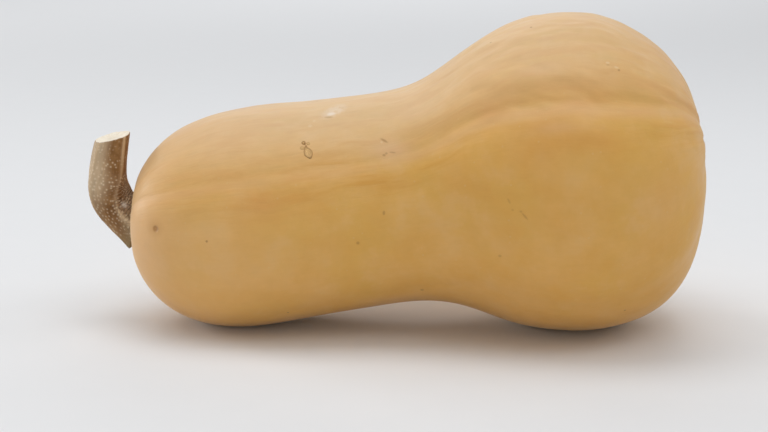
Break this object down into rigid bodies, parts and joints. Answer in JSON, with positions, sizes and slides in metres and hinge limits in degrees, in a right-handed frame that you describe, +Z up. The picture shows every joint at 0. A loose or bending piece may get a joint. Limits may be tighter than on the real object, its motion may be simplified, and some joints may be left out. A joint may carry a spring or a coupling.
{
  "type": "butternut squash",
  "caption": "Whole raw butternut squash lying on its side: smooth pale tan rind, faint ribs, long thick neck, round bulb and a short curved brown stem.",
  "frame": {"origin": "middle of the bounding box's underside, on the surface that the squash lies on", "axes": "+X along the fruit towards the blossom end, with the stem at -X; +Z up; the picture looks from -Y"},
  "size_m": [0.2476, 0.1286, 0.127],
  "materials": {
    "rind": "pale tan rind, dull with a faint waxy sheen",
    "woody_stem": "dry brown stem, rough"
  },
  "bodies": {
    "root": {"fruit": "rind", "stem": "woody_stem"}
  },
  "joints": []
}
